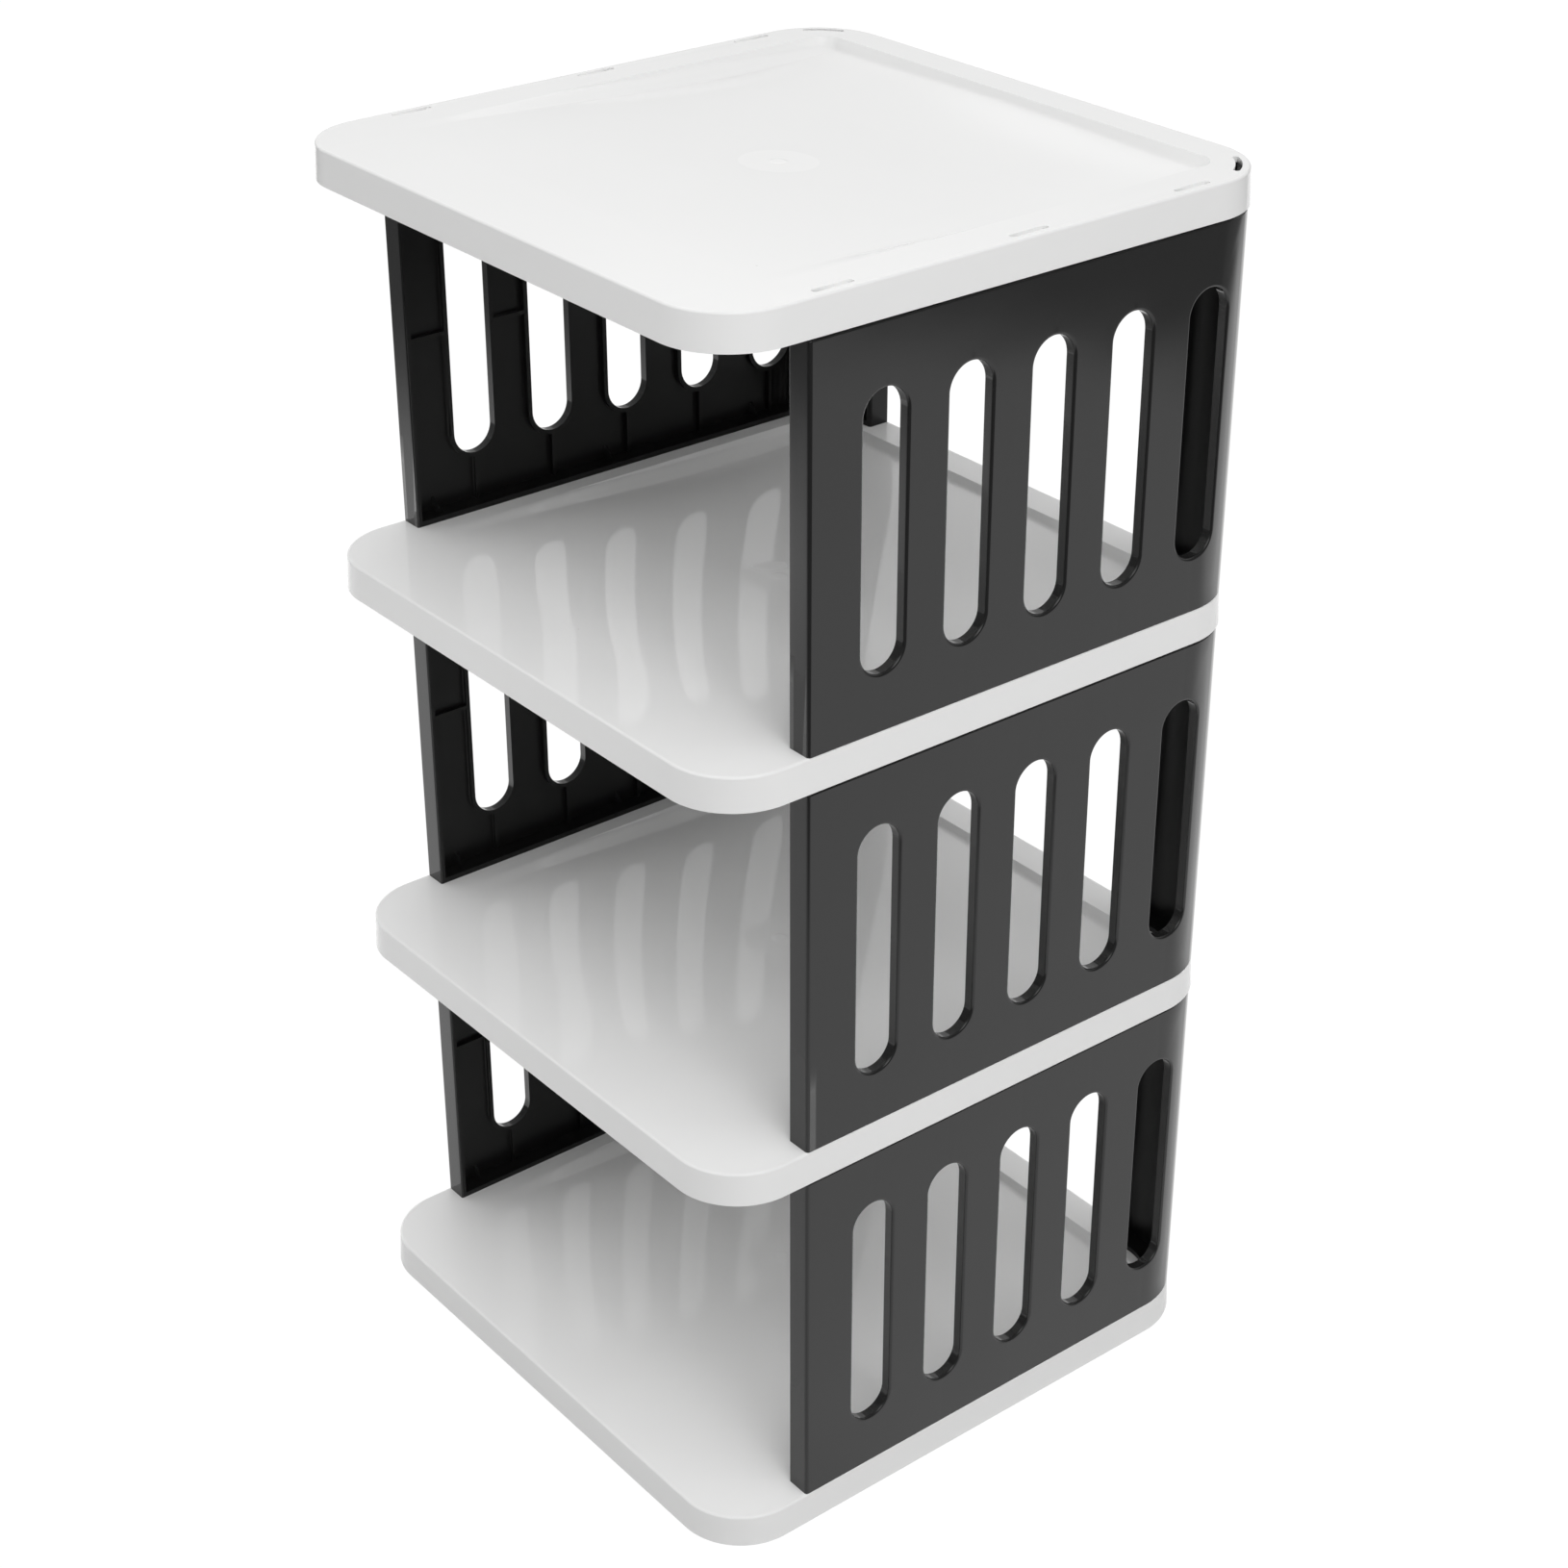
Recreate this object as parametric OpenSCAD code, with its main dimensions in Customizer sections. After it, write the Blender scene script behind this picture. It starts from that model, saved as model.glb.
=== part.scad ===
// Stacking shoe rack: four moulded trays held apart by three pairs of slotted side panels.
// X runs across the rack, Y from the open front to the rear, and Z up from the floor.

/* [Rack] */
// Width of a tray across its top edge
rack_w = 300; // [250:5:420]
// Depth of a tray from front to rear across its top edge
rack_d = 300; // [260:5:420]
// Height of a side panel between two trays
panel_h = 177; // [140:1:260]

/* [Tray] */
// Height of a tray's skirt
tray_h = 16; // [14:0.5:24]
// Thickness of a tray's rim and floor
skin_t = 2.4; // [1.6:0.1:3]
// Thickness of the skirt
skirt_t = 2.2; // [1.6:0.1:2.6]
// How far the skirt leans out at its foot
skirt_flare = 0.8; // [0.2:0.1:1.6]
// Radius of the skirt's top edge
edge_r = 1.2; // [0.6:0.1:2]
// Radius of the two front corners
front_corner_r = 32; // [20:1:45]
// Radius of the two rear corners
rear_corner_r = 36; // [28:1:45]
// Width of the flat rim along each side
side_rim_w = 21; // [15:0.5:30]
// Width of the flat rim along the rear
rear_rim_w = 17.5; // [15:0.5:30]
// Depth of the dished floor at its lowest line
dish_depth = 7.2; // [4:0.2:8]
// Distance from the front edge to where the floor starts to fall
dish_start = 40; // [30:5:90]
// Distance from the front edge to the floor's lowest line
dish_low = 195; // [160:5:220]
// Width of the gentle slope down each side of the dish
dish_slope_w = 35; // [20:1:50]
// Depth of the step where the floor meets the rear rim
step_drop = 5; // [3:0.5:6]
// Distance from the front edge to where the step starts along the side rims
step_start = 120; // [80:5:160]
// Corner radius of the step at rim level
step_corner_r = 10.5; // [9:0.5:26]
// How far the step leans in for each millimetre of depth
step_lean = 0.6; // [0.2:0.1:1]
// Diameter of the round gate mark at the middle of the floor
gate_d = 36; // [20:1:80]
// Depth of the gate mark
gate_depth = 0.4; // [0.2:0.1:0.8]
// Diameter of the gate's stub in the middle of its mark
stub_d = 7; // [3:0.5:12]

/* [Underside] */
// Distance from the outer edge to the guide wall behind the skirt
guide_inset = 7; // [6.6:0.1:9]
// Thickness of the guide wall and of the stiffening ribs
rib_t = 1.8; // [1.2:0.1:2.4]
// Height of the guide wall's lower edge above the skirt's foot
guide_z = 5; // [2:0.5:8]
// Number of stiffening ribs each way
rib_count = 4; // [2:1:6]
// Height of the ribs' lower edge above the skirt's foot
rib_z = 4; // [2:0.5:8]

/* [Panel] */
// Wall thickness of a panel
panel_t = 2.6; // [2:0.1:3]
// Depth of the flanges that close a panel's edges
flange_d = 12.4; // [10:0.2:14]
// Distance from the tray's front edge to the panel's front flange
panel_setback = 45; // [35:1:60]
// How far a panel returns along the rear from the side
return_len = 50; // [46:1:80]
// Radius of the panel's upright outer edges
panel_edge_r = 1.6; // [0.8:0.1:2]
// Radius of the outer edge of a panel's shoulder
shoulder_r = 0.8; // [0.4:0.1:1.5]
// Gap left between a panel's shoulder and the skirt above
shadow_gap = 1; // [0.5:0.1:2]

/* [Slots] */
// Number of upright slots in a panel
slot_count = 5; // [2:1:5]
// Width of a slot
slot_w = 22.6; // [14:0.2:24]
// Height of a slot
slot_h = 122.5; // [60:0.5:124]
// Height of a slot's lower end above the panel's foot
slot_z = 26; // [18:0.5:40]
// Distance between the middles of two slots
slot_pitch = 44.1; // [34:0.1:46]
// Distance from the panel's front flange to the middle of the first slot
slot_first = 38.3; // [26:0.1:45]
// Depth of the lip round a slot, from the outer face
lip_depth = 5.2; // [3.6:0.1:7]
// Thickness of the lip round a slot
lip_t = 2.2; // [1.4:0.1:3]
// Radius of a slot's outer edge
mouth_r = 1.3; // [0.6:0.1:1.8]

/* [Tabs] */
// Distance from the outer edge to the middle of the tabs
tab_inset = 5; // [4.6:0.1:5.4]
// Thickness of a tab
tab_t = 2.5; // [1.6:0.1:2.8]
// Length of a tab
tab_l = 19; // [10:0.5:24]
// How far a tab reaches below the panel's foot
tab_drop = 8; // [4:0.5:10]
// Distance from the tray's front edge to the front tab
front_tab = 60; // [56:1:80]
// Distance from the tray's front edge to the middle tab
middle_tab = 159; // [120:1:180]
// Distance from the tray's front edge to the rear tab
rear_tab = 249; // [220:1:250]
// Gap on each side of a tab in its slot
tab_gap = 0.25; // [0.15:0.05:0.5]
// Gap at each end of a tab in its slot
tab_end_gap = 0.5; // [0.3:0.1:1]
// Thickness of the tongue on a panel's top
tongue_t = 2.2; // [1.6:0.1:2.4]
// Gap between the tongue and the skirt
tongue_gap = 0.3; // [0.2:0.1:0.5]
// Room between a tab and the notch in the tongue below it
notch_gap = 3; // [1:0.5:5]

/* [Hidden] */
$fn = 72;
half_w = rack_w / 2;
half_d = rack_d / 2;
pitch = tray_h + panel_h;
rim_under = tray_h - skin_t;
front_y = panel_setback - half_d;
side_run = rack_d - front_corner_r - rear_corner_r;
front_run = rack_w - 2 * front_corner_r;
rear_run = rack_w - 2 * rear_corner_r;
rear_cx = half_w - rear_corner_r;
rear_cy = half_d - rear_corner_r;
section_reach = guide_inset + rib_t;
floor_half_w = half_w - side_rim_w;
floor_end = half_d - rear_rim_w;
step_y = step_start - half_d;
step_fall = atan(step_drop / (floor_end - step_y));
dish_y = dish_start - half_d;
dish_low_y = dish_low - half_d;
dish_r = (pow(dish_low - dish_start, 2) / dish_depth + dish_depth) / 2;
dish_axis_z = tray_h - dish_depth + dish_r;
shoulder_z = panel_h - shadow_gap;
tongue_inset = skirt_t + tongue_gap;
slot_end_z = slot_z + slot_h;
tabs_y = [for (y = [front_tab, middle_tab, rear_tab]) y - half_d];
slots_y = [for (i = [0:slot_count - 1]) front_y + slot_first + i * slot_pitch];
gusset_h = 10;
cut = 1;
tray_white = [0.93, 0.93, 0.92];
panel_black = [0.1, 0.1, 0.11];

// Plan of a tray, moved in from its top edge all round
module outline(inset) {
    w = half_w - inset;
    d = half_d - inset;
    fr = front_corner_r - inset;
    rr = rear_corner_r - inset;
    translate([-w, fr - d]) square([2 * w, 2 * d - fr - rr]);
    translate([fr - w, -d]) square([2 * (w - fr), fr + cut]);
    translate([rr - w, d - rr - cut]) square([2 * (w - rr), rr + cut]);
    for (side = [-1, 1]) {
        translate([side * (w - fr), fr - d]) circle(fr);
        translate([side * (w - rr), d - rr]) circle(rr);
    }
}

// Carries a wall section round the tray: its X is the distance out from the top edge, its Y is height
module round_the_tray() {
    for (side = [0, 1]) mirror([side, 0, 0]) {
        translate([half_w, rear_cy, 0]) rotate([90, 0, 0]) linear_extrude(side_run) children();
        translate([rear_cx, rear_cy, 0]) rotate_extrude(angle = 90) translate([rear_corner_r, 0]) children();
        translate([half_w - front_corner_r, front_corner_r - half_d, 0]) rotate([0, 0, -90])
            rotate_extrude(angle = 90) translate([front_corner_r, 0]) children();
    }
    rotate([0, 0, -90]) translate([half_d, front_run / 2, 0]) rotate([90, 0, 0])
        linear_extrude(front_run) children();
    rotate([0, 0, 90]) translate([half_d, rear_run / 2, 0]) rotate([90, 0, 0])
        linear_extrude(rear_run) children();
}

// Section through the skirt, the rim's edge and the guide wall behind the skirt
module rim_section() {
    difference() {
        union() {
            polygon([
                [0, tray_h], [0, tray_h - edge_r], [skirt_flare, 0],
                [skirt_flare - skirt_t, 0], [-skirt_t, tray_h]
            ]);
            translate([-section_reach, rim_under]) square([section_reach, skin_t]);
            translate([-section_reach, guide_z]) square([rib_t, tray_h - guide_z]);
        }
        translate([-edge_r, tray_h - edge_r]) difference() {
            square(edge_r + cut);
            circle(edge_r);
        }
    }
}

// Block with leaning sides and round corners; grow moves all its sides out
module leaning_block(grow) {
    low = tray_h - max(dish_depth, step_drop) - skin_t;
    high = tray_h + cut;
    r_low = step_corner_r + grow - step_lean * (tray_h - low);
    r_high = step_corner_r + grow + step_lean * cut;
    x = floor_half_w - step_corner_r;
    y_rear = floor_end - step_corner_r;
    y_front = dish_y - step_corner_r;
    for (side = [-1, 1], y = [y_front, y_rear])
        translate([side * x, y, low]) cylinder(h = high - low, r1 = r_low, r2 = r_high);
    translate([0, y_rear, 0]) rotate([90, 0, 0]) linear_extrude(y_rear - y_front)
        polygon([[-x - r_low, low], [x + r_low, low], [x + r_high, high], [-x - r_high, high]]);
    translate([-x, 0, 0]) rotate([90, 0, 90]) linear_extrude(2 * x)
        polygon([
            [y_front - r_low, low], [y_rear + r_low, low],
            [y_rear + r_high, high], [y_front - r_high, high]
        ]);
}

// Everything above the dish's middle, which is part of a wide drum lying across the tray; lift raises it
module above_drum(lift) {
    translate([-half_w, dish_low_y, dish_axis_z]) rotate([0, 90, 0])
        cylinder(h = rack_w, r = dish_r - lift, $fn = 720);
}

// Everything above the whole floor: the plane that falls with the step, and the dish between its side slopes
module above_floor(lift) {
    depth = dish_depth + cut;
    low_w = floor_half_w - dish_slope_w * depth / dish_depth;
    high_w = floor_half_w + dish_slope_w * cut / dish_depth;
    translate([0, step_y, tray_h]) rotate([-step_fall, 0, 0])
        translate([-half_w, 0, lift]) cube([rack_w, rack_d, tray_h]);
    intersection() {
        above_drum(lift);
        translate([0, half_d, tray_h + lift]) rotate([90, 0, 0]) linear_extrude(rack_d)
            polygon([[-low_w, -depth], [low_w, -depth], [high_w, cut - lift], [-high_w, cut - lift]]);
    }
}

// Upright post with round ends, along Y: a tab's shape, or the slot that a tab drops through
module straight_post(w, l, low, high) {
    run = l - w;
    translate([-w / 2, -run / 2, low]) cube([w, run, high - low]);
    for (end = [-1, 1]) translate([0, end * run / 2, low]) cylinder(h = high - low, d = w);
}

// The same, bent round a rear corner; the corner's centre is at the origin
module corner_post(w, l, low, high) {
    r = rear_corner_r - tab_inset;
    half = (l - w) / 2 / r * 180 / PI;
    rotate([0, 0, 45 - half]) rotate_extrude(angle = 2 * half)
        translate([r - w / 2, low]) square([w, high - low]);
    for (end = [-1, 1]) rotate([0, 0, 45 + end * half])
        translate([r, 0, low]) cylinder(h = high - low, d = w);
}

// Slots through the rim for the tabs of one panel
module rim_slots() {
    w = tab_t + 2 * tab_gap;
    l = tab_l + 2 * tab_end_gap;
    for (y = tabs_y) translate([half_w - tab_inset, y, 0])
        straight_post(w, l, rim_under - cut, tray_h + cut);
    translate([rear_cx, rear_cy, 0]) corner_post(w, l, rim_under - cut, tray_h + cut);
}

// Round gate mark at the middle of the floor, round the stub that the gate leaves
module gate_mark() {
    difference() {
        intersection() {
            cylinder(h = tray_h, d = gate_d);
            above_drum(-gate_depth);
        }
        cylinder(h = tray_h, d = stub_d);
    }
}

// Stiffening ribs under the floor, from guide wall to guide wall
module floor_ribs() {
    for (i = [1:rib_count]) {
        x = -half_w + i * rack_w / (rib_count + 1);
        y = -half_d + i * rack_d / (rib_count + 1);
        translate([x - rib_t / 2, guide_inset - half_d, rib_z])
            cube([rib_t, rack_d - 2 * guide_inset, rim_under - rib_z + cut]);
        translate([guide_inset - half_w, y - rib_t / 2, rib_z])
            cube([rack_w - 2 * guide_inset, rib_t, rim_under - rib_z + cut]);
    }
}

module tray(level) {
    color(tray_white) translate([0, 0, level * pitch]) difference() {
        union() {
            round_the_tray() rim_section();
            translate([0, 0, rim_under]) linear_extrude(skin_t) outline(guide_inset);
            intersection() {
                leaning_block(skin_t);
                above_floor(-skin_t);
                translate([0, 0, rib_z]) linear_extrude(tray_h - rib_z) outline(guide_inset);
            }
            floor_ribs();
        }
        intersection() {
            leaning_block(0);
            above_floor(0);
        }
        gate_mark();
        for (side = [0, 1]) mirror([side, 0, 0]) rim_slots();
    }
}

// J-shaped band that follows the tray's edge along the side, round the rear corner and back in
module edge_band(from, to) {
    intersection() {
        difference() {
            outline(from);
            outline(to);
        }
        translate([half_w - return_len, front_y]) square([return_len + cut, rack_d]);
    }
}

// Takes the sharp corner off an upright edge; the corner is at the origin and the solid in the +X +Y quarter
module edge_round(r) {
    translate([0, 0, -tab_drop - cut]) linear_extrude(panel_h + tab_drop + 2 * cut) difference() {
        translate([-cut, -cut]) square(r + cut);
        translate([r, r]) circle(r);
    }
}

// Takes the sharp corner off the shoulder's outer edge, all the way along the panel
module shoulder_round() {
    translate([0, 0, shoulder_z]) round_the_tray() translate([-shoulder_r, -shoulder_r]) difference() {
        square(shoulder_r + cut);
        circle(shoulder_r);
    }
}

// Upright slot shape, lying along X from the outer face inwards, wider than the slot by grow all round
module slot_shape(grow, depth) {
    r = slot_w / 2 + grow;
    run = slot_h - slot_w;
    translate([half_w - depth, 0, slot_z + slot_w / 2]) {
        translate([0, -r, 0]) cube([depth, 2 * r, run]);
        for (z = [0, run]) translate([0, 0, z]) rotate([0, 90, 0]) cylinder(h = depth, r = r);
    }
}

// Section of the rounded edge where a slot meets the outer face: X is the distance from the slot's wall
module mouth_section() {
    difference() {
        translate([-cut, -mouth_r]) square([mouth_r + cut, mouth_r + cut]);
        translate([mouth_r, -mouth_r]) circle(mouth_r);
    }
}

// Rounds the edge of one slot all the way round at the outer face
module slot_mouth() {
    r = slot_w / 2;
    run = slot_h - slot_w;
    translate([half_w, 0, slot_z + r]) rotate([90, 0, 90]) {
        for (side = [0, 1]) mirror([side, 0, 0])
            translate([r, run, 0]) rotate([90, 0, 0]) linear_extrude(run) mouth_section();
        rotate([0, 0, 180]) rotate_extrude(angle = 180) translate([r, 0]) mouth_section();
        translate([0, run, 0]) rotate_extrude(angle = 180) translate([r, 0]) mouth_section();
    }
}

// Section of a tab: its middle is at X = 0 and its root at the panel's foot
module tab_section() {
    tip = tab_t / 4;
    polygon([
        [-tab_t / 2, panel_t], [tab_t / 2, panel_t], [tab_t / 2, tab_t - tab_drop],
        [tip, -tab_drop], [-tip, -tab_drop], [-tab_t / 2, tab_t - tab_drop]
    ]);
}

// Tabs under the panel that drop through the rim of the tray it stands on
module tabs() {
    for (y = tabs_y) translate([half_w - tab_inset, y, 0]) intersection() {
        straight_post(tab_t, tab_l, -tab_drop, panel_t);
        translate([0, tab_l / 2, 0]) rotate([90, 0, 0]) linear_extrude(tab_l) tab_section();
    }
    translate([rear_cx, rear_cy, 0]) intersection() {
        corner_post(tab_t, tab_l, -tab_drop, panel_t);
        rotate_extrude(angle = 90) translate([rear_corner_r - tab_inset, 0]) tab_section();
    }
}

// Tongue on the shoulder that stands inside the skirt above and carries its rim, notched over each tab
module tongue() {
    top = panel_h + rim_under;
    notch_l = tab_l + 2 * notch_gap;
    notch_half = notch_l / 2 / (rear_corner_r - tab_inset) * 180 / PI;
    difference() {
        translate([0, 0, shoulder_z - panel_t]) linear_extrude(top - shoulder_z + panel_t)
            edge_band(tongue_inset, tongue_inset + tongue_t);
        translate([0, 0, shoulder_z]) {
            for (y = tabs_y) translate([half_w - flange_d, y - notch_l / 2, 0])
                cube([flange_d, notch_l, tray_h + shadow_gap]);
            translate([rear_cx, rear_cy, 0]) rotate([0, 0, 45 - notch_half])
                rotate_extrude(angle = 2 * notch_half)
                    square([rear_corner_r, tray_h + shadow_gap]);
        }
    }
}

// Upright ribs that tie each slot's lip to the flanges below and above it
module slot_ribs() {
    for (y = slots_y) translate([half_w - lip_depth, y - rib_t / 2, 0]) {
        cube([lip_depth - panel_t / 2, rib_t, slot_z]);
        translate([0, 0, slot_end_z]) cube([lip_depth - panel_t / 2, rib_t, shoulder_z - slot_end_z]);
    }
}

// Gussets that brace the foot flange over the straight tabs
module gussets() {
    for (y = tabs_y) translate([half_w, y + rib_t / 2, 0]) rotate([90, 0, 0]) linear_extrude(rib_t)
        polygon([[-panel_t / 2, panel_t / 2], [rib_t - flange_d, panel_t / 2], [-panel_t / 2, gusset_h]]);
}

// Right-hand panel, standing on a tray whose top is at Z = 0
module panel_shell() {
    linear_extrude(shoulder_z) edge_band(0, panel_t);
    linear_extrude(panel_t) edge_band(0, flange_d);
    translate([0, 0, shoulder_z - panel_t]) linear_extrude(panel_t) edge_band(0, flange_d);
    translate([half_w - lip_depth, front_y, (shoulder_z - rib_t) / 2])
        cube([lip_depth - panel_t / 2, rear_cy - front_y, rib_t]);
    translate([half_w - flange_d, front_y, 0]) cube([flange_d, panel_t, shoulder_z]);
    translate([half_w - return_len, half_d - flange_d, 0]) cube([panel_t, flange_d, shoulder_z]);
}

module right_panel() {
    difference() {
        union() {
            panel_shell();
            slot_ribs();
            gussets();
            intersection() {
                for (y = slots_y) translate([0, y, 0]) slot_shape(lip_t, lip_depth);
                linear_extrude(shoulder_z) outline(0);
            }
            tabs();
            tongue();
        }
        for (y = slots_y) translate([0, y, 0]) {
            translate([cut, 0, 0]) slot_shape(0, flange_d + 2 * cut);
            slot_mouth();
        }
        translate([half_w, front_y, 0]) mirror([1, 0, 0]) edge_round(panel_edge_r);
        translate([half_w - flange_d, front_y, 0]) edge_round(panel_edge_r / 2);
        translate([half_w - return_len, half_d, 0]) mirror([0, 1, 0]) edge_round(panel_edge_r);
        translate([half_w - return_len, half_d - flange_d, 0]) edge_round(panel_edge_r);
        shoulder_round();
    }
}

module panel(level, side) {
    color(panel_black) translate([0, 0, level * pitch + tray_h])
        mirror([side == "left" ? 1 : 0, 0, 0]) right_panel();
}

tray(0);  // bottom_tray
tray(1);  // lower_tray
tray(2);  // upper_tray
tray(3);  // top_tray
panel(0, "left");  // lower_left_panel
panel(0, "right");  // lower_right_panel
panel(1, "left");  // middle_left_panel
panel(1, "right");  // middle_right_panel
panel(2, "left");  // upper_left_panel
panel(2, "right");  // upper_right_panel
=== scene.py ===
import math

import bmesh
import bpy
import numpy as np
from mathutils import Matrix, Vector


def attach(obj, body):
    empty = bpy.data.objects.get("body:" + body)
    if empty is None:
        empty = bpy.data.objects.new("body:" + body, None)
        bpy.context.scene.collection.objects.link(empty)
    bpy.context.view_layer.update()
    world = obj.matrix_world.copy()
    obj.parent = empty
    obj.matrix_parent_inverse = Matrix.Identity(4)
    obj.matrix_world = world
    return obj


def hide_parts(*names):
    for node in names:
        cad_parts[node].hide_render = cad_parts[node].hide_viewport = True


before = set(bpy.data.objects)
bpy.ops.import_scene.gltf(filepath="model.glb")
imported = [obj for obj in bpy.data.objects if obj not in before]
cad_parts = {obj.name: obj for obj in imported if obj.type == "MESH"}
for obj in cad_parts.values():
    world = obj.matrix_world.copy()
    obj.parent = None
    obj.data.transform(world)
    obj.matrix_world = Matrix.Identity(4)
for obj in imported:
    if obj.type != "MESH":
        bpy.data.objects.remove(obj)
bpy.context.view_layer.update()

# Photographer's set
# White paper from a wide roll lies under the rack in a dim studio. Broad soft light comes low from
# the left, high from the right and weakly from overhead, and two square lamps hang above the front
# and its right corner. The camera looks down on that corner as in the photograph.
MM = 0.001
PHOTO_SIDE = 1630
AIM_PIXEL = (806.5, 787.6)
LENS_PIXELS = 3085.6
SENSOR_WIDTH = 36.0
CAMERA_PLACE = (0.9545, -0.7603, 0.9684)
CAMERA_BACK = (0.6877, -0.5460, 0.4787)
CAMERA_ROLL = -0.174

view_back = Vector(CAMERA_BACK).normalized()
view_flat = Vector((-view_back.y, view_back.x, 0.0)).normalized()
view_up = view_back.cross(view_flat)
roll = math.radians(CAMERA_ROLL)
view_right = view_flat * math.cos(roll) + view_up * math.sin(roll)
view_top = view_up * math.cos(roll) - view_flat * math.sin(roll)

camera_data = bpy.data.cameras.new("photo_camera")
camera_data.sensor_width = SENSOR_WIDTH
camera_data.lens = SENSOR_WIDTH * LENS_PIXELS / PHOTO_SIDE
camera_data.shift_x = (PHOTO_SIDE / 2 - AIM_PIXEL[0]) / PHOTO_SIDE
camera_data.shift_y = (AIM_PIXEL[1] - PHOTO_SIDE / 2) / PHOTO_SIDE
camera_data.clip_start = 0.05
camera = bpy.data.objects.new("photo_camera", camera_data)
axes = Matrix((view_right, view_top, view_back)).transposed()
camera.matrix_world = Matrix.Translation(CAMERA_PLACE) @ axes.to_4x4()
bpy.context.collection.objects.link(camera)
bpy.context.scene.camera = camera
bpy.context.scene.view_settings.view_transform = "Standard"


def wire(tree, start, end):
    """Joins one shader socket to another."""
    tree.links.new(start, end)


def fill(tree, socket, value):
    """Gives a socket a plain value, or joins it to the socket that the value is."""
    if isinstance(value, (int, float, tuple)):
        socket.default_value = value
    else:
        wire(tree, value, socket)


def calc(tree, operation, *values):
    """Math node on one to three sockets or numbers; gives its output socket."""
    node = tree.nodes.new("ShaderNodeMath")
    node.operation = operation
    for place, value in enumerate(values):
        fill(tree, node.inputs[place], value)
    return node.outputs[0]


def ramp(tree, value, low, high, start=0.0, end=1.0):
    """Moves softly from start to end while value goes from low to high, and stays there outside
    them."""
    node = tree.nodes.new("ShaderNodeMapRange")
    node.interpolation_type = "SMOOTHSTEP"
    for place, number in enumerate((value, low, high, start, end)):
        fill(tree, node.inputs[place], number)
    return node.outputs[0]


def along_way(tree, vector, way):
    """Dot product of a vector socket and a fixed way: how far it goes along the way."""
    node = tree.nodes.new("ShaderNodeVectorMath")
    node.operation = "DOT_PRODUCT"
    wire(tree, vector, node.inputs[0])
    node.inputs[1].default_value = way
    return node.outputs["Value"]


def ray_kinds(tree):
    """Two masks: rays that look straight at a surface, from the camera or through glass, and mirror
    rays."""
    path = tree.nodes.new("ShaderNodeLightPath")
    straight = calc(tree, "MAXIMUM", path.outputs["Is Camera Ray"], path.outputs["Is Transmission Ray"])
    return straight, path.outputs["Is Glossy Ray"]


# Mirrors show the dim studio and a white screen, which stands high on the rack's far side. The
# screen is less bright low down, and much less at its upper left. Each soft light is as bright as
# the power LIGHT_FOCUS of the cosine to its middle.
STUDIO_DIM = 0.12
SCREEN_WAY = (-0.78, 0.62, 0.0)
SCREEN_EDGE = (0.05, 0.5)
SCREEN_RISE = (0.33, 0.4)
SCREEN_LOW = 0.62
SCREEN_HIGH = 0.9
SHADE_ASIDE = (-0.13, -0.03)
SHADE_RISE = (0.38, 0.44)
SCREEN_SHADE = 0.6
BEHIND = (-0.783, 0.622, 0.0)
ASIDE = (0.622, 0.783, 0.0)
UP = (0.0, 0.0, 1.0)
LIGHT_FOCUS = 6.0
SOFT_LIGHTS = (
    ((-0.836, 0.483, 0.259), 2.65),
    ((-0.836, -0.483, 0.259), 1.8),
    ((0.643, 0.0, 0.766), 2.25),
    (UP, 0.14))

world = bpy.data.worlds.new("studio")
bpy.context.scene.world = world
world.use_nodes = True
tree = world.node_tree
tree.nodes.clear()
straight, mirrored = ray_kinds(tree)
heading = tree.nodes.new("ShaderNodeTexCoord").outputs["Generated"]
rise = along_way(tree, heading, UP)
white = ramp(tree, rise, *SCREEN_RISE, SCREEN_LOW, SCREEN_HIGH)
screen = ramp(tree, along_way(tree, heading, SCREEN_WAY), *SCREEN_EDGE, STUDIO_DIM, white)
left = ramp(tree, along_way(tree, heading, ASIDE), *SHADE_ASIDE, SCREEN_SHADE, 0.0)
upper_left = calc(tree, "MULTIPLY", left, ramp(tree, rise, *SHADE_RISE))
screen = calc(tree, "MULTIPLY", screen, calc(tree, "SUBTRACT", 1.0, upper_left))
other = calc(tree, "SUBTRACT", 1.0, calc(tree, "MAXIMUM", straight, mirrored))
level = calc(tree, "MULTIPLY_ADD", mirrored, screen, straight)
for toward, glow in SOFT_LIGHTS:
    facing = calc(tree, "MAXIMUM", along_way(tree, heading, toward), 0.0)
    spread_light = calc(tree, "MULTIPLY", calc(tree, "POWER", facing, LIGHT_FOCUS), glow)
    level = calc(tree, "MULTIPLY_ADD", other, spread_light, level)
room = tree.nodes.new("ShaderNodeBackground")
room.inputs["Color"].default_value = (1.0, 1.0, 1.0, 1.0)
wire(tree, level, room.inputs["Strength"])
wire(tree, room.outputs[0], tree.nodes.new("ShaderNodeOutputWorld").inputs["Surface"])

# The paper is white to the eye and keeps the rack's shadow. Its light in mirrors is painted: an
# emission that stands in for how the lamps light it, brighter on the rack's far side than on the
# camera's, more so at the left, and painted dark near the camera and beyond a line on each side,
# though the paper goes on. Each painted edge is where it is darkest, where it is at its full light,
# and its darkest share. FAR_SIDE is two distances back and the light at each. LEFT_LEVEL is the
# same for the left, whose own light fades out across LEFT_SIDE.
PAPER_HALF = 9.0
PAPER_SEEN = 0.93
PAPER_GLOW = 1.06
PAPER_TONE = (0.6, 0.6, 0.6, 1.0)
FAR_SIDE = (-0.05, 0.22, 0.9, 1.15)
LEFT_SIDE = (-0.05, 0.1)
LEFT_LEVEL = (-0.05, 0.1, 0.78, 1.04)
NEAR_EDGE = (-0.85, -0.5, 0.1)
LEFT_EDGE = (-1.5, -1.0, 0.2)
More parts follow.
